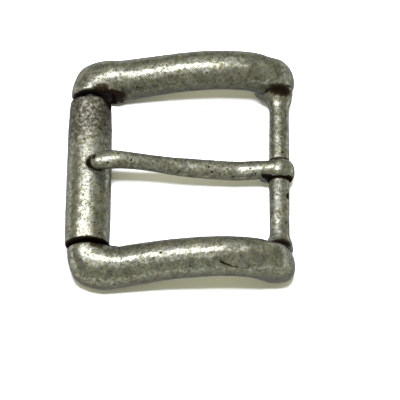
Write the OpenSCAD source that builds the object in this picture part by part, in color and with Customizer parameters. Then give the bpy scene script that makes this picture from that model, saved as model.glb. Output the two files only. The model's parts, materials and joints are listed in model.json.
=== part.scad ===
// Heavy cast roller buckle for a 38 mm belt: frame, roller, hidden axle and tongue.
// It lies on the plane z = 0 with its middle over the origin.
// +X runs from the roller to the strap bar, +Y runs along both of them.

/* [Belt] */
// Width of the belt that the buckle takes
belt_w = 38; // [36:0.5:39]
// Play left between the belt's edges and the side arms
belt_play = 2.8; // [2.4:0.2:3.2]

/* [Frame] */
// Distance from the roller's axis to the strap bar's axis
frame_span = 47.3; // [47:0.1:48]
// Half of the thickness of a side arm, across the belt
arm_half_w = 5.15; // [4.95:0.05:5.3]
// Radius of the strap bar
bar_r = 2.52; // [2.4:0.02:2.7]
// Height of the strap bar's axis
bar_z = 6.65; // [6.5:0.05:6.9]
// Radius of the turned-down waist that carries the tongue
waist_r = 2.25; // [2.1:0.05:2.3]

/* [Roller] */
// Largest radius of the roller
roller_r = 5.62; // [5.5:0.02:5.64]
// Height of the roller's axis
roller_z = 5.75; // [5.75:0.01:5.8]
// How much shorter the roller is than the opening, at each end
roller_gap = 0.7; // [0.6:0.05:0.9]
// Radius of the hidden axle
axle_r = 1.85; // [1.6:0.05:2]
// Radial clearance of the running fits, roller on axle and tongue on waist
run_fit = 0.08; // [0.05:0.01:0.1]

/* [Tongue] */
// Half of the width of the tongue's loop, across the belt
loop_half_w = 2.33; // [2.2:0.01:2.4]
// Outer radius of the loop round the strap bar
loop_r = 3.9; // [3.8:0.05:4.1]
// Depth of the pocket in the roller where the tip rests
pocket_depth = 1.2; // [1:0.05:1.3]
// Radius of the pocket, measured across the tongue
pocket_r = 3.5; // [3.2:0.1:3.8]

/* [Smoothness] */
// Points round each cast section
section_n = 24; // [20:4:28]
// Steps along each cast piece between two rows of its table
row_steps = 4; // [3:1:4]

/* [Hidden] */
$fn = 96;

opening_w = belt_w + belt_play;
half_opening = opening_w / 2;
arm_y = half_opening + arm_half_w;
roller_x = -22.7;
bar_x = roller_x + frame_span;
roller_l = opening_w - 2 * roller_gap;
// The roller is loose on its axle and has slid a little towards one arm
roller_slide = -0.6;
// Depth of the blind holes that hold the axle, and its play in them
socket_l = 2.8;
socket_play = 0.02;
axle_end_play = 0.05;
// How far the ends of the arms stay behind the opening's edge beside the roller
end_play = 0.3;
waist_half_l = loop_half_w + 0.15;
pewter = [0.52, 0.52, 0.46];
worn_pewter = [0.56, 0.56, 0.5];
axle_steel = [0.35, 0.35, 0.34];

// Columns of the tables below. A row is one section across a cast rod: its middle
// seen from above (along X, and out from the buckle's middle along Y), the turn of the
// rod in plan, its underside and top, half its width, and how much narrower
// its underside is than its top, as a share (below 0 where it is wider)
ROW_X = 0;
ROW_Y = 1;
ROW_TURN = 2;
ROW_LOW = 3;
ROW_TOP = 4;
ROW_HALF_W = 5;
ROW_TAPER = 6;

// The corner beside the roller, section by section: the inner edge of each (from the
// roller's axis and the opening's edge), its outer edge (from the roller's axis, and as
// a share of the way to the arm's outside), its underside and top, and its taper
corner_rows = [
    for (cut = [
        [5.35, end_play,        -4.90, 0,    0.60, 10.70,  0],
        [5.65, end_play - 0.02, -4.90, 0.10, 0.25, 10.85,  0],
        [6.20, -0.15,           -4.50, 0.40, 0.10, 10.40, -0.06],
        [6.85, -0.20,           -2.50, 0.81, 0.00,  9.80, -0.30],
        [7.60, -0.10,            2.40, 1.02, 0.00, 10.00, -0.30],
        [8.50,  0.05,            6.60, 1.03, 0.35, 10.70, -0.20]
    ])
        let (
            inner = [roller_x + cut[0], half_opening + cut[1]],
            outer = [
                roller_x + cut[2],
                half_opening + end_play + cut[3] * (2 * arm_half_w - end_play)
            ],
            middle = (inner + outer) / 2,
            across = outer - inner,
            taper = cut[6]
        )
        [
            middle[0], middle[1], atan2(-across[0], across[1]), cut[4], cut[5],
            norm(across) / (2 - taper), taper
        ]
];

arm_rows = concat(corner_rows, [
    [-13.3, arm_y + 0.1,  0, 1.05, 11.60, arm_half_w - 0.15, -0.08],
    [ -7.4, arm_y,        0, 3.15, 13.60, arm_half_w - 0.1,  0],
    [ -1.5, arm_y - 0.05, 0, 5.30, 15.45, arm_half_w - 0.2,  0],
    [  4.4, arm_y - 0.05, 0, 6.65, 16.75, arm_half_w - 0.2,  0],
    [ 10.3, arm_y - 0.1,  0, 7.40, 17.40, arm_half_w - 0.25, 0],
    [ 16.2, arm_y - 0.1,  0, 6.80, 17.00, arm_half_w - 0.25, 0],
    [ 19.4, arm_y - 0.15, 0, 4.90, 16.30, arm_half_w - 0.15, 0.04],
    [ 20.8, arm_y - 0.2,  0, 2.50, 16.00, arm_half_w - 0.05, 0.15],
    [ 21.9, arm_y - 0.2,  0, 0.40, 15.60, arm_half_w - 0.05, 0.25],
    [ 23.2, arm_y - 0.2,  0, 0.00, 15.00, arm_half_w - 0.1,  0.27],
    [ 25.5, arm_y - 0.2,  0, 0.00, 13.70, arm_half_w - 0.2,  0.27],
    [ 28.5, arm_y - 0.2,  0, 0.00, 11.20, arm_half_w - 0.3,  0.27]
]);

// Where the strap bar widens into an arm, more towards the opening than outwards,
// ending inside the arm
flare_rows = [
    [bar_x,        half_opening - 3.6, 90, bar_z - bar_r + 0.05, bar_z + bar_r - 0.05, bar_r - 0.05, 0],
    [bar_x - 0.05, half_opening - 2,   90, bar_z - bar_r - 0.1,  bar_z + bar_r + 0.15, bar_r + 0.28, 0],
    [bar_x - 0.2,  half_opening - 0.8, 90, bar_z - bar_r - 0.4,  bar_z + bar_r + 0.6,  bar_r + 0.88, 0],
    [bar_x - 0.85, half_opening + 0.2, 90, bar_z - bar_r - 0.8,  bar_z + bar_r + 1.3,  bar_r + 1.6,  0],
    [bar_x - 1.4,  half_opening + 1.2, 90, bar_z - bar_r - 0.7,  bar_z + bar_r + 2,    bar_r + 2.3,  0],
    [bar_x - 1,    half_opening + 3.2, 90, bar_z - bar_r,        bar_z + bar_r + 1.5,  bar_r + 1.1,  0]
];

tongue_rows = [
    [-22.2, 0, 0, 10.30, 13.10, 1.80, 0],
    [-20.4, 0, 0, 10.85, 13.90, 2.20, 0],
    [-16.7, 0, 0, 11.40, 14.90, 2.45, 0],
    [-13.3, 0, 0, 11.00, 14.60, 2.25, 0],
    [ -7.4, 0, 0,  9.50, 13.00, 2.15, 0],
    [ -1.5, 0, 0,  7.60, 11.20, 2.35, 0],
    [  4.4, 0, 0,  6.35, 10.15, 2.50, 0],
    [ 13.3, 0, 0,  5.10,  8.90, 2.50, 0],
    [ 18.0, 0, 0,  5.60,  9.50, 2.45, 0],
    [ 20.6, 0, 0,  5.60, 10.00, 2.35, 0],
    [ 22.6, 0, 0,  6.00, 10.40, loop_half_w - 0.05, 0],
    [ 24.2, 0, 0,  8.00, 10.45, loop_half_w - 0.20, 0]
];

// Smooth course of one column of a table between rows i and i + 1
function column_at(rows, column, i, t) =
    let (
        last = len(rows) - 1,
        a = rows[max(i - 1, 0)][column],
        b = rows[i][column],
        c = rows[i + 1][column],
        d = rows[min(i + 2, last)][column]
    )
    b + 0.5 * t * (c - a + t * (2 * a - 5 * b + 4 * c - d + t * (3 * b - a - 3 * c + d)));

// All sections of a rod, before its ends are rounded
function stations(rows, steps) =
    [
        for (i = [0:len(rows) - 2], step = [0:steps - 1])
            [for (column = [ROW_X:ROW_TAPER]) column_at(rows, column, i, step / steps)],
        rows[len(rows) - 1]
    ];

// Size of a rounded end, 1 where the rounding starts and nearly 0 at its last section,
// x being how far a section is past that start and length how long the rounding is
function end_scale(x, length) =
    let (bluntness = 2.4, hair = 0.02)
    pow(1 - pow(max(x, 0) / (length + hair), bluntness), 1 / bluntness);

// The closed outline of one section, mid_z being the height of its middle
function section_points(row, scale, mid_z) =
    [
        for (i = [0:section_n - 1])
            let (
                angle = 360 * i / section_n,
                across = scale * row[ROW_HALF_W] * cos(angle)
                    * (1 - row[ROW_TAPER] * (1 - sin(angle)) / 2)
            )
            [
                row[ROW_X] - across * sin(row[ROW_TURN]),
                row[ROW_Y] + across * cos(row[ROW_TURN]),
                max(mid_z + scale * (row[ROW_TOP] - row[ROW_LOW]) / 2 * sin(angle), 0)
            ]
    ];

// Closed body through a list of sections, each with section_n points
module loft(sections) {
    count = len(sections);
    side_faces = [
        for (s = [0:count - 2], i = [0:section_n - 1])
            let (
                a = s * section_n + i,
                b = s * section_n + (i + 1) % section_n
            )
            each [[a, b + section_n, b], [a, a + section_n, b + section_n]]
    ];
    base = (count - 1) * section_n;
    first_cap = [for (i = [1:section_n - 2]) [0, i, i + 1]];
    last_cap = [for (i = [1:section_n - 2]) [base, base + i + 1, base + i]];
    polyhedron(
        points = [for (section = sections) each section],
        faces = concat(side_faces, first_cap, last_cap),
        convexity = 6
    );
}

// Where an arm starts to round off above its foot, and the height of its very end
foot_round_x = 23.5;
foot_end_z = 5.4;

function arm_sections() =
    [
        for (row = stations(arm_rows, row_steps))
            let (
                last = arm_rows[len(arm_rows) - 1][ROW_X],
                scale = end_scale(row[ROW_X] - foot_round_x, last - foot_round_x),
                middle = (row[ROW_LOW] + row[ROW_TOP]) / 2,
                drop = row[ROW_X] > foot_round_x ? 1 - scale : 0
            )
            section_points(row, scale, middle + (foot_end_z - middle) * drop)
    ];

// One side arm, from its flat face beside the roller to its foot at the strap bar
module side_arm() {
    loft(arm_sections());
}

// Root of the strap bar at one arm
module bar_flare() {
    loft([
        for (row = stations(flare_rows, 3))
            section_points(row, 1, (row[ROW_LOW] + row[ROW_TOP]) / 2)
    ]);
}

// Strap bar as one turned shape with the waist for the tongue in its middle
module strap_bar() {
    shoulder = 0.4;
    translate([bar_x, 0, bar_z])
        rotate([-90, 0, 0])
            rotate_extrude()
                polygon([
                    [0, -arm_y],
                    [bar_r, -arm_y],
                    [bar_r, -waist_half_l - shoulder],
                    [waist_r, -waist_half_l],
                    [waist_r, waist_half_l],
                    [bar_r, waist_half_l + shoulder],
                    [bar_r, arm_y],
                    [0, arm_y]
                ]);
}

// One casting: two arms and the strap bar, with a blind hole for each end of the axle
module frame() {
    color(pewter)
        difference() {
            union() {
                for (flip = [0, 1])
                    mirror([0, flip, 0]) {
                        side_arm();
                        bar_flare();
                    }
                strap_bar();
            }
            translate([roller_x, 0, roller_z])
                rotate([90, 0, 0])
                    cylinder(r = axle_r + socket_play, h = opening_w + 2 * socket_l, center = true);
        }
}

// Pocket for the tongue's tip: a round groove with a ball-shaped end
module tip_pocket() {
    floor_z = roller_z + roller_r - pocket_depth;
    start_x = roller_x + 2.1;
    translate([start_x, 0, floor_z + pocket_r]) {
        sphere(r = pocket_r);
        rotate([0, 90, 0])
            cylinder(r = pocket_r, h = 2 * roller_r);
    }
}

// Sleeve that turns on the axle, slightly thinner towards its far end
module roller() {
    half_l = roller_l / 2;
    edge = 0.5;
    bore_r = axle_r + run_fit;
    color(worn_pewter)
        difference() {
            translate([roller_x, roller_slide, roller_z])
                rotate([-90, 0, 0])
                    rotate_extrude()
                        polygon([
                            [bore_r, -half_l],
                            [roller_r - 0.1 - edge, -half_l],
                            [roller_r - 0.1, edge - half_l],
                            [roller_r, -0.3 * half_l],
                            [roller_r - 0.05, 0],
                            [roller_r - 0.12, 0.6 * half_l],
                            [roller_r - 0.4, half_l - edge],
                            [roller_r - 0.4 - edge, half_l],
                            [bore_r, half_l]
                        ]);
            tip_pocket();
        }
}

// Plain pin through the roller, its ends held in the frame's lugs
module roller_axle() {
    color(axle_steel)
        translate([roller_x, 0, roller_z])
            rotate([90, 0, 0])
                cylinder(r = axle_r, h = opening_w + 2 * (socket_l - axle_end_play), center = true);
}

function tongue_sections() =
    [
        for (row = stations(tongue_rows, row_steps))
            let (
                tip_round = 1.8,
                first = tongue_rows[0][ROW_X],
                scale = end_scale(first + tip_round - row[ROW_X], tip_round)
            )
            section_points(row, scale, (row[ROW_LOW] + row[ROW_TOP]) / 2)
    ];

// Loop round the waist of the strap bar, crowned on its outside, with the
// blunt wedge where its end comes back up to the tongue
module bar_loop() {
    crown = 1.1;
    wedge_x = -2.5;
    wedge_z = -0.3;
    wedge_r = 2.3;
    wedge_half_w = loop_half_w - 0.2;
    wedge_loop_r = loop_r - 0.7;
    translate([bar_x, wedge_half_w, bar_z])
        rotate([90, 0, 0])
            linear_extrude(height = 2 * wedge_half_w)
                polygon(concat(
                    [for (angle = [-120:15:100]) wedge_loop_r * [cos(angle), sin(angle)]],
                    [for (angle = [100:15:240]) [wedge_x, wedge_z] + wedge_r * [cos(angle), sin(angle)]]
                ));
    translate([bar_x, 0, bar_z])
        rotate([90, 0, 0])
            rotate_extrude()
                polygon(concat(
                    [[waist_r, loop_half_w]],
                    [for (angle = [90:-15:-90])
                        [loop_r - crown + crown * cos(angle), loop_half_w * sin(angle)]],
                    [[waist_r, -loop_half_w]]
                ));
}

// Tongue: a cast rod bent down to the roller's pocket, its loop bored for the waist
module tongue() {
    color(pewter)
        difference() {
            union() {
                loft(tongue_sections());
                bar_loop();
            }
            translate([bar_x, 0, bar_z])
                rotate([90, 0, 0])
                    cylinder(r = waist_r + run_fit, h = 4 * loop_half_w, center = true);
        }
}

frame();
roller();
roller_axle();
tongue();
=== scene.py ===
import json
import math
import random

import bmesh
import bpy
from mathutils import Euler, Matrix, Vector, kdtree, noise


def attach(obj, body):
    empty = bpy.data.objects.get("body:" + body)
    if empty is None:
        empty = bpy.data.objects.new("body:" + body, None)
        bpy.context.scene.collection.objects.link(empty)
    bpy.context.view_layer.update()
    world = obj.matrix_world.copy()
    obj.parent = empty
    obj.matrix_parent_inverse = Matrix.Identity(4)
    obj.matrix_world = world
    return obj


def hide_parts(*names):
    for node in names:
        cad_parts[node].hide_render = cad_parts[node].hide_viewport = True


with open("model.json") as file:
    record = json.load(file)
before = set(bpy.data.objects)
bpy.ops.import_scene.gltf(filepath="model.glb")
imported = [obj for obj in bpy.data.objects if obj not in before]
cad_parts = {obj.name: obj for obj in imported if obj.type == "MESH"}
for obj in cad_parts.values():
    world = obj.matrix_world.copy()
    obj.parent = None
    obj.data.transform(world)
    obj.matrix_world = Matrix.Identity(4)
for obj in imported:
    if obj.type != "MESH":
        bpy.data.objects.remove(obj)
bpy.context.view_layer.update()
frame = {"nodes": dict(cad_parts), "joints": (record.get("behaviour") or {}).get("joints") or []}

# The frame is one heavy casting in zinc alloy: two arched arms, each turned inward in
# front of the roller, and a thinner round bar for the belt at the back. It was tumbled
# smooth, plated with nickel, blackened and rubbed back, so the dark stays in the hollows.
# Shade in its gaps, inner corners and joints is painted into the colour as well.

# Sizes are in millimetres until a finished piece is placed
MM = 0.001
SIDES = 96
joint_at = {joint["name"]: [p / MM for p in joint["pos_m"]] for joint in frame["joints"]}
bar_x, _, bar_z = joint_at["tongue_lift"]
roller_x, _, roller_z = joint_at["roller_turn"]
arm_half_w = 5.15
inner_y = 20.4
arm_y = inner_y + arm_half_w
end_y = inner_y + 0.3
socket_r = 1.87
socket_l = 2.8
waist_r = 2.25
waist_half_l = 2.4
bar_r = 2.52
arm_blunt_x = 23.5
arm_end_x = 28.52
arm_end_z = 5.4
steps_between = 5
blunt_power = 2.4

# Each corner beside the roller, cut by cut: inner edge, outer edge, underside, top, taper
corner_cuts = [
    ((5.35, 0.60), (-4.90, 0.45), 0.60, 10.20, 0),
    ((5.65, 0.60), (-4.90, 1.40), 0.25, 10.35, 0),
    ((6.20, 0.00), (-4.50, 4.30), 0.10, 10.55, -0.06),
    ((6.85, -0.15), (-2.50, 8.40), 0.00, 10.75, -0.20),
    ((7.60, -0.10), (2.40, 10.50), 0.00, 10.90, -0.22),
    ((8.50, 0.05), (6.60, 10.60), 0.35, 11.05, -0.18),
]
# One row is a section across the casting: x, y, turn in plan, underside, top,
# half its width, and how much narrower it is at the bottom
corner_rows = [
    (
        roller_x + (inner[0] + outer[0]) / 2, inner_y + (inner[1] + outer[1]) / 2,
        math.degrees(math.atan2(inner[0] - outer[0], outer[1] - inner[1])),
        low, top, math.dist(inner, outer) / (2 - taper), taper,
    )
    for inner, outer, low, top, taper in corner_cuts
]
arm_rows = [
    (-13.3, arm_y + 0.10, 0, 1.05, 11.60, 5.00, -0.08),
    (-7.4, arm_y, 0, 3.15, 13.60, 5.05, 0),
    (-1.5, arm_y - 0.05, 0, 5.30, 15.45, 4.95, 0),
    (4.4, arm_y - 0.05, 0, 6.65, 16.75, 4.95, 0),
    (10.3, arm_y - 0.10, 0, 7.40, 17.40, 4.90, 0),
    (16.2, arm_y - 0.10, 0, 6.80, 17.00, 4.90, 0),
    (19.4, arm_y - 0.15, 0, 4.90, 16.30, 5.00, 0.04),
    (20.8, arm_y - 0.20, 0, 2.50, 16.00, 5.10, 0.15),
    (21.9, arm_y - 0.20, 0, 0.40, 15.60, 5.10, 0.25),
    (23.2, arm_y - 0.20, 0, 0.00, 15.00, 5.05, 0.27),
    (25.5, arm_y - 0.20, 0, 0.00, 13.70, 4.95, 0.27),
    (28.5, arm_y - 0.20, 0, 0.00, 11.20, 4.85, 0.27),
]
bar_rows = [
    (bar_x, -0.5, 90, bar_z - waist_r, bar_z + waist_r, waist_r, 0),
    (bar_x, 2.3, 90, bar_z - waist_r, bar_z + waist_r, waist_r, 0),
    (bar_x, 2.9, 90, bar_z - bar_r, bar_z + bar_r, bar_r, 0),
    (bar_x, 10.0, 90, bar_z - bar_r, bar_z + bar_r, bar_r, 0),
    (bar_x, inner_y - 3.6, 90, bar_z - 2.47, bar_z + 2.47, 2.47, 0),
    (bar_x - 0.05, inner_y - 2.0, 90, bar_z - 2.62, bar_z + 2.67, 2.80, 0),
    (bar_x - 0.20, inner_y - 0.8, 90, bar_z - 2.92, bar_z + 3.12, 3.40, 0),
    (bar_x - 0.85, inner_y + 0.2, 90, bar_z - 3.32, bar_z + 3.82, 4.12, 0),
    (bar_x - 1.40, inner_y + 1.2, 90, bar_z - 3.22, bar_z + 4.52, 4.82, 0),
    (bar_x - 1.00, inner_y + 3.2, 90, bar_z - 2.52, bar_z + 4.02, 3.62, 0),
]


def course(rows):
    """The rows with smooth steps between each two of them."""
    smooth = []
    last = len(rows) - 1
    for i in range(last):
        before, here, after, beyond = (rows[max(0, min(k, last))] for k in range(i - 1, i + 3))
        for t in (step / steps_between for step in range(steps_between)):
            smooth.append([
                b + 0.5 * t * (
                    c - a + t * (2 * a - 5 * b + 4 * c - d + t * (3 * b - a - 3 * c + d))
                )
                for a, b, c, d in zip(before, here, after, beyond)
            ])
    return smooth + [list(rows[-1])]


def ring(bm, row):
    """A closed section of the casting, as the edges of one circle laid across it."""
    x, y, turn, low, top, half_w, taper = row
    verts = bmesh.ops.create_circle(bm, segments=SIDES, radius=1)["verts"]
    for vert in verts:
        vert.co.x *= 1 - taper * (1 - vert.co.y) / 2
    place = (
        Matrix.Translation((x, y, (low + top) / 2))
        @ Matrix.Rotation(math.radians(90 + turn), 4, "Z")
        @ Matrix.Rotation(math.radians(90), 4, "X")
        @ Matrix.Diagonal((half_w, (top - low) / 2, 1, 1))
    )
    bmesh.ops.transform(bm, matrix=place, verts=verts)
    return {edge for vert in verts for edge in vert.link_edges}


def loft(bm, rings):
    """Skins the rings one after another and closes both ends."""
    for one, other in zip(rings, rings[1:]):
        bmesh.ops.bridge_loops(bm, edges=list(one | other))
    for end in (rings[0], rings[-1]):
        bmesh.ops.contextual_create(bm, geom=list(end))


def rounded(row, start, end, level):
    """A row near a blunt end, shrunk towards that end's middle height."""
    smallest = 0.002
    t = max((row[0] - start) / (end - start), 0)
    scale = max(1 - t ** blunt_power, smallest) ** (1 / blunt_power)
    middle = (row[3] + row[4]) / 2
    middle += (level - middle) * (1 - scale) * (t > 0)
    half_h = (row[4] - row[3]) / 2 * scale
    return [*row[:3], max(middle - half_h, 0), middle + half_h, row[5] * scale, row[6]]


def as_object(bm, name):
    """Closes up the mesh, turns its faces outwards and makes it an object."""
    bmesh.ops.remove_doubles(bm, verts=bm.verts, dist=0.001)
    bmesh.ops.recalc_face_normals(bm, faces=bm.faces)
    mesh = bpy.data.meshes.new(name)
    bm.to_mesh(mesh)
    bm.free()
    obj = bpy.data.objects.new(name, mesh)
    bpy.context.scene.collection.objects.link(obj)
    return obj


def applied(obj):
    """The object with its modifiers made part of its mesh."""
    graph = bpy.context.evaluated_depsgraph_get()
    made = bpy.data.meshes.new_from_object(obj.evaluated_get(graph))
    obj.modifiers.clear()
    obj.data = made
    return obj


def softened(obj, rounds):
    """Smooths the object's mesh, each round halfway to the mean of its neighbours."""
    soften = obj.modifiers.new("soften", "SMOOTH")
    soften.factor = 0.5
    soften.iterations = rounds
    return applied(obj)


def fused(obj, grain, rounds):
    """Melts crossing bodies into one skin with soft inner corners, as in a mould."""
    melt = obj.modifiers.new("melt", "REMESH")
    melt.mode = "VOXEL"
    melt.voxel_size = grain
    return softened(obj, rounds)


def crevices(obj):
    """How deep each point lies in an inner corner, from 0 to 1: how far smoothing lifts it."""
    rounds = 40
    full_lift = 0.14
    soft = bpy.data.objects.new("soft", obj.data.copy())
    bpy.context.scene.collection.objects.link(soft)
    lifted = [vert.co.copy() for vert in softened(soft, rounds).data.vertices]
    bpy.data.objects.remove(soft)
    return [
        max(0.0, min(1.0, (high - vert.co).dot(vert.normal) / full_lift))
        for high, vert in zip(lifted, obj.data.vertices)
    ]


def weathered(obj, pits, hollows, seed, wave_length=2.6):
    """Gives a casting its faint waves and its pits, and marks its dark places, patina and painted
    shade, and where it was rubbed, a mask that also paints the undersides darker as shade.

    A pit is (x, y, z, radius, depth) and a hollow is a function of a point, from 0 to 1."""
    wave_height = 0.035
    pits_a_point = 0.002
    pit_radii = 0.2, 0.45
    pit_depths = 0.1, 0.25
    black_depth = 0.11
    mesh = obj.data
    points = [vert.co.copy() for vert in mesh.vertices]
    normals = [vert.normal.copy() for vert in mesh.vertices]
    tree = kdtree.KDTree(len(points))
    for i, point in enumerate(points):
        tree.insert(point, i)
    tree.balance()
    chance = random.Random(seed)
    scattered = []
    for _ in range(int(len(points) * pits_a_point)):
        at = points[chance.randrange(len(points))]
        radius = chance.uniform(*pit_radii)
        scattered.append((*at, radius, radius * chance.uniform(*pit_depths)))
    sunk = [0.0] * len(points)
    dark = crevices(obj)
    for x, y, z, radius, depth in [*pits, *scattered]:
        for _, i, away in tree.find_range((x, y, z), radius):
            share = (1 - (away / radius) ** 2) ** 2
            sunk[i] = max(sunk[i], depth * share)
            dark[i] = max(dark[i], min(1.0, depth / black_depth) * share)
    shift = Vector((seed * 7.3, 0, 0))
    for i, vert in enumerate(mesh.vertices):
        swell = noise.fractal(points[i] / wave_length + shift, 0.7, 2.0, 3) * wave_height
        vert.co = points[i] + normals[i] * (swell - sunk[i])
        # The dark places also take the painted shade in gaps, corners and joints
        dark[i] = max(dark[i], hollows(points[i]))
    # Rubbing reached what looks up, less of the sides and none of the underside; the same mask
    # paints the undersides darker as shade
    wear_and_shade = [max(0.0, min(1.0, (normal.z + 0.2) / 0.8)) for normal in normals]
    for name, values in (("tarnish_and_shade", dark), ("wear_and_shade", wear_and_shade)):
        mesh.attributes.new(name, "FLOAT", "POINT").data.foreach_set("value", values)


def placed(obj, name):
    """Brings the finished piece from millimetres to the size of the frame."""
    obj.name = obj.data.name = name
    obj.data.transform(Matrix.Scale(MM, 4))
    obj.data.shade_smooth()


def ramp(depth, width):
    """0 outside a border and 1 from that width behind it."""
    return max(0.0, min(1.0, depth / width))


def near(point, middle, reach):
    """1 at a place, falling to 0 at its reach, which may differ along the three axes."""
    away = [(p - m) / r for p, m, r in zip(point, middle, reach)]
    return max(0.0, 1 - math.hypot(*away))


def frame_patina_and_shade(point):
    """Painted shade in the roller's gaps, the inner corners, the bar's roots and its waist, a brown
    patina rim beside the roller, and a duller near half of the bar.
    """
    x, y, z = point
    side = abs(y)
    past_roller = x - roller_x
    past_bar = x - bar_x

    # Painted shade on the arm's end face, in the gap beside the roller
    face_edge, face_r = 0.35, 6.2
    end_face = ramp(end_y + face_edge - side, face_edge) * (abs(past_roller) < face_r)

    # Painted shade in the inner corner beside the roller, where the arm's side turns down into
    # shadow
    corner_start, corner_end, corner_w = 2.6, 10.6, 3.2
    corner_top = 9.8 - 0.3 * (past_roller - 3.6)
    corner = 0.6 * ramp(corner_top - z, 0.5) * (side < inner_y + corner_w)
    corner *= ramp(past_roller - corner_start, 0.8) * ramp(corner_end - past_roller, 3.0)

    rim_w, rim_low, rim_x, rim_half_l = 2.6, 1.5, 2.6, 2.8
    rim = 0.42 * ramp(end_y + rim_w - side, 1.6) * ramp(z - roller_z - rim_low, 1)
    rim *= ramp(rim_half_l - abs(past_roller - rim_x), 1.5)

    # Painted shade at the roots of the bar, where it joins the arms
    root_top = bar_z + 4.6 - 0.45 * max(0.0, past_bar)
    root_at, root_reach = (bar_x + 0.4, inner_y + 0.3, root_top), (4.4, 2.0, 2.2)
    root = 1.2 * near((x, side, z), root_at, root_reach)

    near_half = 0.09 * ramp(-2.5 - y, 2) * (abs(past_bar) < 3.2) * (side < inner_y - 1)
    # Painted shade at the shoulders of the bar's waist, beside the tongue's loop
    waist_end = 1.2 * max(0.0, 1 - abs(side - waist_half_l) / 0.7) * (abs(past_bar) < 3.5)
    return min(1.0, max(end_face, corner, rim, root, near_half, waist_end))


half_frame = bmesh.new()
far_arm = [
    rounded(row, start=arm_blunt_x, end=arm_end_x, level=arm_end_z)
    for row in course(corner_rows + arm_rows)
]
# The edge beside the roller is rounded off over the first three sections
for row, share in zip(far_arm, (0.88, 0.955, 0.985)):
    middle, half_h = (row[3] + row[4]) / 2, (row[4] - row[3]) / 2 * share
    row[3:6] = middle - half_h, middle + half_h, row[5] * share
# The blind hole for the axle opens in the arm's end, beside the roller
socket = [
    (roller_x, y, 90, roller_z - socket_r, roller_z + socket_r, socket_r, 0)
    for y in (inner_y + socket_l, end_y + 0.3, end_y)
]
loft(half_frame, [ring(half_frame, row) for row in socket + far_arm])
loft(half_frame, [ring(half_frame, row) for row in course(bar_rows)])
both_halves = half_frame.verts[:] + half_frame.edges[:] + half_frame.faces[:]
bmesh.ops.mirror(half_frame, geom=both_halves, matrix=Matrix(), merge_dist=0, axis="Y")
casting = fused(as_object(half_frame, "casting"), grain=0.26, rounds=4)

frame_pits = [
    (-6.3, -26.4, 12.9, 0.45, 0.2),
    (-5.2, -26.0, 13.2, 0.40, 0.2),
    (-7.9, -29.0, 9.5, 0.45, 0.2),
    (-15.8, -30.7, 6.8, 0.45, 0.2),
    (2.7, -29.2, 14.7, 0.40, 0.2),
    (bar_x + 2.2, -7.2, bar_z + 1.1, 1.2, 0.6),
]
# A cold seam along the near arm's outer side, as a row of small pits that grow shallower
seam_places = (10.2, -28.7, 16.1), (12.9, -29.4, 15.2), (17.2, -29.6, 14.35)
seam_steps, seam_r, seam_depth, seam_fade = 12, 0.45, 0.09, 0.003
seam = [Vector(place) for place in seam_places]
for i, (start, end) in enumerate(zip(seam, seam[1:])):
    for step in range(seam_steps):
        depth = seam_depth - seam_fade * (seam_steps * i + step)
        frame_pits.append((*start.lerp(end, step / seam_steps), seam_r, depth))
weathered(casting, frame_pits, frame_patina_and_shade, seed=1)
placed(casting, "cast_frame")


def linear(hex_colour):
    """An sRGB hex colour as the linear colour that a shader takes."""
    parts = [int(hex_colour[i:i + 2], 16) / 255 for i in (1, 3, 5)]
    return [p / 12.92 if p <= 0.04045 else ((p + 0.055) / 1.055) ** 2.4 for p in parts] + [1.0]


def add_node(tree, kind, settings=None, **inputs):
    """Adds a node to a material, with its settings, and its inputs set or linked.

    An input is named as its socket is, or by its number, as in no0."""
    node = tree.nodes.new("ShaderNode" + kind)
    for name, value in (settings or {}).items():
        setattr(node, name, value)
    for name, value in inputs.items():
        numbered = name.startswith("no") and name[2:].isdigit()
        socket = node.inputs[int(name[2:]) if numbered else name.replace("_", " ")]
        if isinstance(value, bpy.types.NodeSocket):
            tree.links.new(value, socket)
        else:
            socket.default_value = value
    return node


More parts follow.
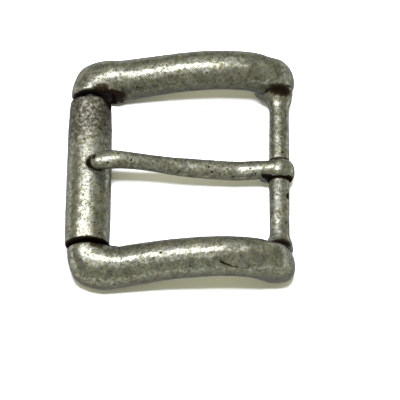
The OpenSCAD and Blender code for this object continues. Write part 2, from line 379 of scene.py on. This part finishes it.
def antique_nickel(name, shade, bright, warm, seed):
    """Nickel plate blackened and rubbed back. It looks like old pewter: a dull olive oxide
    with specks of bare metal, which shine only where the light is mirrored. Undersides were
    never rubbed and stay dull, and are painted darker as shade. Hollows hold a brown black,
    which in the gaps, corners and joints is painted shade. The real grain is finer than
    a tenth of a millimetre and is drawn at 0.6 to 0.9 mm, as coarse as it needs to show."""
    material = bpy.data.materials.new(name)
    material.use_nodes = True
    tree = material.node_tree
    tree.nodes.clear()
    colours = {"data_type": "RGBA"}
    eased = {"interpolation_type": "SMOOTHSTEP"}
    add, subtract, multiply = ({"operation": kind} for kind in ("ADD", "SUBTRACT", "MULTIPLY"))
    underside, speck_black = linear("#2e2d25"), linear("#15120c")
    edge_brown, hollow_and_shade_black = linear("#20190d"), linear("#1b1510")

    place = add_node(tree, "TexCoord").outputs["Object"]
    place = add_node(tree, "Mapping", Vector=place, Location=(seed, seed * 2, 0)).outputs["Vector"]
    grain = add_node(tree, "TexNoise", Vector=place, Scale=1 / (0.6 * MM), Detail=4.0,
                     Roughness=0.65).outputs["Fac"]
    mottle = add_node(tree, "TexNoise", Vector=place, Scale=1 / (0.8 * MM), Detail=5.0,
                      Roughness=0.75).outputs["Fac"]
    stains = add_node(tree, "TexNoise", Vector=place, Scale=1 / (1.9 * MM),
                      Detail=2.0).outputs["Fac"]
    cloud = add_node(tree, "TexNoise", Vector=place, Scale=1 / (3.5 * MM),
                     Detail=3.0).outputs["Fac"]
    speck = add_node(tree, "TexVoronoi", Vector=place, Scale=1 / (0.9 * MM)).outputs["Distance"]
    tarnish_and_shade = add_node(tree, "Attribute", {"attribute_name": "tarnish_and_shade"}).outputs["Fac"]
    wear_and_shade = add_node(tree, "Attribute", {"attribute_name": "wear_and_shade"}).outputs["Fac"]

    # Where the plate was rubbed bare, and where a speck of black was left in it
    rubbed = add_node(tree, "Math", add, no0=grain, no1=mottle).outputs["Value"]
    rubbed = add_node(tree, "MapRange", eased, Value=rubbed, From_Min=0.74,
                      From_Max=1.2).outputs["Result"]
    rubbed = add_node(tree, "Math", multiply, no0=rubbed, no1=wear_and_shade).outputs["Value"]
    hole = add_node(tree, "MapRange", eased, Value=speck, From_Min=0.12, From_Max=0.3,
                    To_Min=1.0, To_Max=0.0).outputs["Result"]
    seldom = add_node(tree, "MapRange", Value=stains, From_Min=0.47,
                      From_Max=0.57).outputs["Result"]
    hole = add_node(tree, "Math", multiply, no0=hole, no1=seldom).outputs["Value"]

    # The oxide and the bare metal, lighter and darker by mottle and stain
    tone = add_node(tree, "MapRange", Value=cloud, From_Min=0.4, From_Max=0.62).outputs["Result"]
    body = add_node(tree, "Mix", colours, no0=tone, no6=linear(shade),
                    no7=linear(warm)).outputs[2]
    plate = add_node(tree, "Mix", colours, no0=rubbed, no6=body, no7=linear(bright)).outputs[2]
    # Undersides are painted darker, as shade; they were also never rubbed
    plate = add_node(tree, "Mix", colours, no0=wear_and_shade, no6=underside, no7=plate).outputs[2]
    strength = add_node(tree, "MapRange", Value=mottle, From_Min=0.35, From_Max=0.65,
                        To_Min=0.56, To_Max=1.36).outputs["Result"]
    stain = add_node(tree, "MapRange", Value=stains, From_Min=0.4, From_Max=0.6,
                     To_Min=1.13, To_Max=0.78).outputs["Result"]
    strength = add_node(tree, "Math", multiply, no0=strength, no1=stain).outputs["Value"]
    plate = add_node(tree, "VectorMath", {"operation": "SCALE"}, Vector=plate,
                     Scale=strength).outputs["Vector"]
    filled = add_node(tree, "Math", multiply, no0=hole, no1=0.75).outputs["Value"]
    pitted = add_node(tree, "Mix", colours, no0=filled, no6=plate, no7=speck_black).outputs[2]

    # The dark held in the hollows, with painted shade in the gaps, corners and joints: brown at its
    # edge and black inside, with a ragged border
    spread = add_node(tree, "MapRange", Value=mottle, From_Min=0.35, From_Max=0.65,
                      To_Min=1.45, To_Max=0.6).outputs["Result"]
    tarnish_and_shade = add_node(tree, "Math", multiply, no0=tarnish_and_shade, no1=spread).outputs["Value"]
    edge = add_node(tree, "MapRange", eased, Value=tarnish_and_shade, From_Min=0.05,
                    From_Max=0.4).outputs["Result"]
    kept_black_and_shade = add_node(tree, "MapRange", eased, Value=tarnish_and_shade, From_Min=0.3,
                    From_Max=0.85).outputs["Result"]
    brown = add_node(tree, "Mix", colours, no0=edge, no6=pitted, no7=edge_brown).outputs[2]
    colour = add_node(tree, "Mix", colours, no0=kept_black_and_shade, no6=brown, no7=hollow_and_shade_black).outputs[2]

    # Bare metal is the smoothest, then the oxide, the undersides and the hollows
    rough = add_node(tree, "MapRange", Value=rubbed, To_Min=0.33, To_Max=0.22).outputs["Result"]
    rough = add_node(tree, "MapRange", Value=wear_and_shade, To_Min=0.65, To_Max=rough).outputs["Result"]
    rough = add_node(tree, "MapRange", Value=tarnish_and_shade, From_Max=0.12, To_Min=rough,
                     To_Max=0.48).outputs["Result"]
    rough = add_node(tree, "MapRange", Value=kept_black_and_shade, To_Min=rough, To_Max=0.75).outputs["Result"]
    bare = add_node(tree, "MapRange", Value=rubbed, To_Min=0.5, To_Max=0.9).outputs["Result"]
    bare = add_node(tree, "MapRange", Value=kept_black_and_shade, To_Min=bare, To_Max=1.0).outputs["Result"]
    relief = add_node(tree, "Math", subtract, no0=grain, no1=hole).outputs["Value"]
    bump = add_node(tree, "Bump", Strength=0.48, Distance=0.04 * MM,
                    Height=relief).outputs["Normal"]
    metal = add_node(tree, "BsdfPrincipled", Base_Color=colour, Metallic=bare, Roughness=rough,
                     Normal=bump, Specular_Tint=linear("#7c7c76"))
    out = add_node(tree, "OutputMaterial")
    tree.links.new(metal.outputs["BSDF"], out.inputs["Surface"])
    return material


casting.data.materials.append(antique_nickel(
    "antique_nickel_casting", shade="#424423", bright="#6a6a63", warm="#49451d", seed=0.0))
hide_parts("frame")
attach(casting, "frame")

# The axle is a plain drawn steel pin, pressed into the blind holes of the two arms
# before they are closed in on it. Only its ends could ever be seen, in the gaps.


def drawn_steel(name):
    """Cold drawn steel, oiled and dull: dark grey with fine lines along the pin. The real
    lines are a few hundredths of a millimetre apart and are drawn at 0.3 mm so that they show."""
    material = bpy.data.materials.new(name)
    material.use_nodes = True
    tree = material.node_tree
    tree.nodes.clear()
    place = add_node(tree, "TexCoord").outputs["Object"]
    along = add_node(tree, "Mapping", Vector=place, Scale=(1.0, 0.03, 1.0)).outputs["Vector"]
    lines = add_node(tree, "TexNoise", Vector=along, Scale=1 / (0.3 * MM),
                     Detail=3.0).outputs["Fac"]
    colour = add_node(tree, "Mix", {"data_type": "RGBA"}, no0=lines, no6=linear("#2b2a28"),
                      no7=linear("#555350")).outputs[2]
    rough = add_node(tree, "MapRange", Value=lines, To_Min=0.35, To_Max=0.55).outputs["Result"]
    bump = add_node(tree, "Bump", Strength=0.3, Distance=0.02 * MM, Height=lines).outputs["Normal"]
    metal = add_node(tree, "BsdfPrincipled", Base_Color=colour, Metallic=1.0, Roughness=rough,
                     Normal=bump)
    out = add_node(tree, "OutputMaterial")
    tree.links.new(metal.outputs["BSDF"], out.inputs["Surface"])
    return material


axle = frame["nodes"]["roller_axle"]
axle.data.materials.clear()
axle.data.materials.append(drawn_steel("drawn_steel"))

# The roller is a thick sleeve that turns on the axle, a little thinner towards its far end.
# It is cast in zinc alloy and finished like the frame. A pocket cast into its top takes the
# tip of the tongue, so the tongue lies flush.
roller_r = 5.62
roller_half_l = 19.7
roller_slide = -0.6
bore_r = 1.93
pocket_r = 3.5
pocket_depth = 1.2
groove_l = 10
pocket_bottom = roller_z + roller_r - pocket_depth
pocket_at = Vector((roller_x + 2.1, 0, pocket_bottom + pocket_r))

# The sleeve's wall in section, as radius and place along the axle
profile = [
    (bore_r, -roller_half_l), (4.9, -roller_half_l),
    (5.25, 0.12 - roller_half_l), (5.52, 0.55 - roller_half_l),
    (roller_r, -14.0), (roller_r, -6.0), (5.57, 0.0), (5.50, 12.0),
    (5.2, roller_half_l - 0.55), (4.95, roller_half_l - 0.12),
    (4.6, roller_half_l), (bore_r, roller_half_l),
]


def turned(bm, outline, x, y, z, steps):
    """Spins a closed outline of (radius, place along the axis) round an axis along Y."""
    verts = [bm.verts.new((x + radius, y + along, z)) for radius, along in outline]
    edges = [bm.edges.new(pair) for pair in zip(verts, verts[1:] + verts[:1])]
    bmesh.ops.spin(bm, geom=verts + edges, cent=(x, 0, z), axis=(0, 1, 0), angle=math.tau,
                   steps=steps, use_merge=True, use_duplicate=False)


def cut(obj, tool):
    """Takes the tool's body out of the object."""
    bore = obj.modifiers.new("bore", "BOOLEAN")
    bore.operation = "DIFFERENCE"
    bore.solver = "EXACT"
    bore.object = tool
    applied(obj)
    bpy.data.objects.remove(tool)


sleeve = bmesh.new()
turned(sleeve, profile, roller_x, roller_slide, roller_z, steps=144)
roller = as_object(sleeve, "roller")
# A ball sinks the pocket, and a round bar cuts it open towards the tongue
pocket = bmesh.new()
bmesh.ops.create_uvsphere(pocket, u_segments=64, v_segments=32, radius=pocket_r,
                          matrix=Matrix.Translation(pocket_at))
cut(roller, as_object(pocket, "pocket"))
groove = bmesh.new()
bmesh.ops.create_cone(
    groove, cap_ends=True, segments=64, radius1=pocket_r, radius2=pocket_r, depth=groove_l,
    matrix=Matrix.Translation(pocket_at + Vector((groove_l / 2, 0, 0)))
    @ Matrix.Rotation(math.radians(90), 4, "Y"),
)
cut(roller, as_object(groove, "groove"))
fused(roller, grain=0.2, rounds=3)


def roller_shade_and_dulling(point):
    """Painted shade in the gaps at both ends and round the tip's pocket, darker beyond a slanted
    line at the far right end, and darker and duller over the far half.
    """
    x, y, z = point
    # Painted shade on both end faces, in the gaps beside the arms
    ends = max(0.0, 1 - (roller_half_l - abs(y - roller_slide)) / 0.6)
    past_far_rim = 0.8 * x + 0.563 * y + 0.207 * z + 3.66
    far_end = 0.75 * ramp(past_far_rim, 0.6) * (y > 0)
    # Painted shade round the pocket, under the tongue's tip
    seat = 1.3 * near(point, (pocket_at.x - 1.6, 0, pocket_bottom), (2.1, 2.1, 2.1))
    far_half = 0.235 * ramp(y - 2, 8)
    return min(1.0, max(ends, far_end, seat, far_half))


weathered(roller, [], roller_shade_and_dulling, seed=2)
placed(roller, "roller_sleeve")
roller.data.materials.append(antique_nickel(
    "antique_nickel_roller", shade="#424422", bright="#6a6a63", warm="#4c461b", seed=0.031))
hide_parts("roller")
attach(roller, "roller")

# The tongue is a rod, cast in zinc alloy and finished like the frame. Its nose bends down
# into the roller's pocket, and its other end is closed round the waist of the bar, where
# it turns.
tongue_rows = [
    (-22.2, 0, 0, 10.30, 13.10, 1.8, 0),
    (-20.4, 0, 0, 10.85, 13.90, 2.2, 0),
    (-16.7, 0, 0, 11.40, 14.90, 2.45, 0),
    (-13.3, 0, 0, 11.00, 14.60, 2.25, 0),
    (-7.4, 0, 0, 9.50, 13.00, 2.15, 0),
    (-1.5, 0, 0, 7.60, 11.20, 2.35, 0),
    (4.4, 0, 0, 6.35, 10.15, 2.5, 0),
    (13.3, 0, 0, 5.10, 8.90, 2.5, 0),
    (18.0, 0, 0, 5.60, 9.50, 2.45, 0),
    (20.6, 0, 0, 5.60, 10.00, 2.35, 0),
    (22.6, 0, 0, 6.00, 10.40, 2.28, 0),
    (24.2, 0, 0, 8.00, 10.45, 2.13, 0),
]
nose_x = -22.2
nose_round = 1.8
loop_r = 3.9
loop_half_w = 2.33
loop_crown = 1.1
curl_x = -2.5
curl_half_w = 2.1
running_fit = 0.08
drill_l = 10

rod = bmesh.new()
rod_rings = []
for row in course(tongue_rows):
    # The nose is rounded as an arm's end is, but looks the other way
    turned_row = [-row[0], *row[1:]]
    level = (row[3] + row[4]) / 2
    blunt = rounded(turned_row, start=-nose_x - nose_round, end=0.02 - nose_x, level=level)
    rod_rings.append(ring(rod, [row[0], *blunt[1:]]))
loft(rod, rod_rings)
# The loop's wall in section, crowned outside, as radius and place along the bar
crown = [
    (loop_r - loop_crown * (1 - math.cos(math.radians(a))), loop_half_w * math.sin(math.radians(a)))
    for a in range(-90, 91, 15)
]
crown += [(waist_r, loop_half_w), (waist_r, -loop_half_w)]
turned(rod, crown, bar_x, 0, bar_z, steps=96)
# The curl is the rod's last turn under the bar, thicker than the loop
loft(rod, [
    ring(rod, (bar_x + curl_x, y, 90, bar_z - 2.6, bar_z + 2.0, 2.3, 0))
    for y in (-curl_half_w, curl_half_w)
])
tongue = fused(as_object(rod, "tongue"), grain=0.15, rounds=4)
drill = bmesh.new()
bmesh.ops.create_cone(
    drill, cap_ends=True, segments=SIDES, radius1=waist_r + running_fit,
    radius2=waist_r + running_fit, depth=drill_l,
    matrix=Matrix.Translation((bar_x, 0, bar_z)) @ Matrix.Rotation(math.radians(90), 4, "X"),
)
cut(tongue, as_object(drill, "drill"))


def tongue_shade_and_dulling(point):
    """Painted shade inside the loop and on its ends, but for their rims, a painted shadow under the
    nose, and a slightly duller middle.
    """
    x, y, z = point
    past_bar = x - bar_x
    away = math.hypot(past_bar, z - bar_z)
    # Painted shade inside the loop, round the bar
    inside = max(0.0, 1 - (away - waist_r) / 0.9)
    from_rim = loop_r - away if x > bar_x else 0.9 * past_bar + 0.42 * (z - bar_z) + 3.6
    # Painted shade on the loop's ends, which face the bar's shoulders
    loop_end = 0.8 * ramp(abs(y) - 1.5, 0.6) * (z < bar_z + 2.6) * ramp(from_rim - 0.3, 0.4)
    # Painted shadow under the nose, where it sits in the roller's pocket
    under_nose = 0.9 * near(point, (-21.4, 0, 10.4), (1.6, 1.6, 1.6))
    middle = 0.09 * ramp(x + 16, 4) * ramp(15 - x, 4)
    return min(1.0, max(inside, loop_end, under_nose, middle))


tongue_pits = [(-21.4, 0.7, 13.2, 1.0, 0.3), (-15.2, 1.0, 14.6, 0.45, 0.25)]
weathered(tongue, tongue_pits, tongue_shade_and_dulling, seed=3, wave_length=2.0)
placed(tongue, "cast_tongue")
tongue.data.materials.append(antique_nickel(
    "antique_nickel_tongue", shade="#454726", bright="#6a6a63", warm="#4c4720", seed=0.057))
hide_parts("tongue")
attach(tongue, "tongue")

# The studio is a white table top with a soft light above it. A bright panel high up on the
# left and three dim ones round it are mirrored in the metal. The camera stands high in
# front of the buckle, as the photograph was taken.
view_elevation = math.radians(65)
view_yaw = math.radians(-0.45)
view_distance = 700 * MM
view_width = 100 * MM
target = Vector((4.9, -4.8, 0)) * MM
table_half_w = 1.5
table_gap = 0.02 * MM


def matt_white(name, colour):
    """A sheet of matt white board that takes soft shadows, faintly uneven by its 1.5 mm fibres."""
    material = bpy.data.materials.new(name)
    material.use_nodes = True
    tree = material.node_tree
    tree.nodes.clear()
    place = add_node(tree, "TexCoord").outputs["Object"]
    fibre = add_node(tree, "TexNoise", Vector=place, Scale=1 / (1.5 * MM),
                     Detail=3.0).outputs["Fac"]
    rough = add_node(tree, "MapRange", Value=fibre, To_Min=0.75, To_Max=0.9).outputs["Result"]
    board = add_node(tree, "BsdfPrincipled", Base_Color=linear(colour), Roughness=rough)
    out = add_node(tree, "OutputMaterial")
    tree.links.new(board.outputs["BSDF"], out.inputs["Surface"])
    return material


sheet = bmesh.new()
bmesh.ops.create_grid(sheet, x_segments=1, y_segments=1, size=table_half_w)
bmesh.ops.translate(sheet, verts=sheet.verts, vec=(0, 0, -table_gap))
table = as_object(sheet, "table")
table.data.materials.append(matt_white("matt_white_board", "#f4f3ef"))


def softbox(name, middle, size_x, size_y, power, tint, mirrored):
    """A flat soft light hung level above the table, in metres and watts. It is either mirrored
    in the metal or it lights the matt surfaces, as the highlights and the shadows come from
    different sides."""
    light = bpy.data.lights.new(name, "AREA")
    light.shape = "RECTANGLE"
    light.size, light.size_y = size_x, size_y
    light.energy = power
    light.color = linear(tint)[:3]
    lamp = bpy.data.objects.new(name, light)
    lamp.location = middle
    lamp.visible_glossy = mirrored
    lamp.visible_diffuse = not mirrored
    bpy.context.scene.collection.objects.link(lamp)


panel_z = 0.22
card_tint = "#f5f5ff"
softbox("side_box", (-0.13, 0.047, panel_z), 0.25, 0.095, 1.8, "#eceeff", mirrored=True)
softbox("right_card", (0.04, 0.047, panel_z), 0.09, 0.095, 0.12, card_tint, mirrored=True)
softbox("back_card", (-0.05, 0.20, panel_z), 0.30, 0.20, 0.33, card_tint, mirrored=True)
softbox("front_card", (-0.10, -0.08, panel_z), 0.20, 0.15, 0.20, card_tint, mirrored=True)
softbox("top_box", (0.0, -0.045, 0.35), 0.12, 0.08, 4.5, "#e8ecff", mirrored=False)
world = bpy.data.worlds.new("room")
world.use_nodes = True
room = world.node_tree.nodes["Background"]
room.inputs["Color"].default_value = linear("#ffffd8")
room.inputs["Strength"].default_value = 0.65
bpy.context.scene.world = world
bpy.context.scene.view_settings.view_transform = "Standard"

lens = bpy.data.cameras.new("camera")
lens.sensor_fit = "HORIZONTAL"
lens.angle = 2 * math.atan(view_width / 2 / view_distance)
lens.clip_start = 0.01
camera = bpy.data.objects.new("camera", lens)
back = Vector((0, -math.cos(view_elevation), math.sin(view_elevation)))
tilt = Euler((math.pi / 2 - view_elevation, 0, 0))
stand = Matrix.LocRotScale(target + back * view_distance, tilt, None)
camera.matrix_world = Matrix.Rotation(-view_yaw, 4, "Z") @ stand
bpy.context.scene.collection.objects.link(camera)
bpy.context.scene.camera = camera
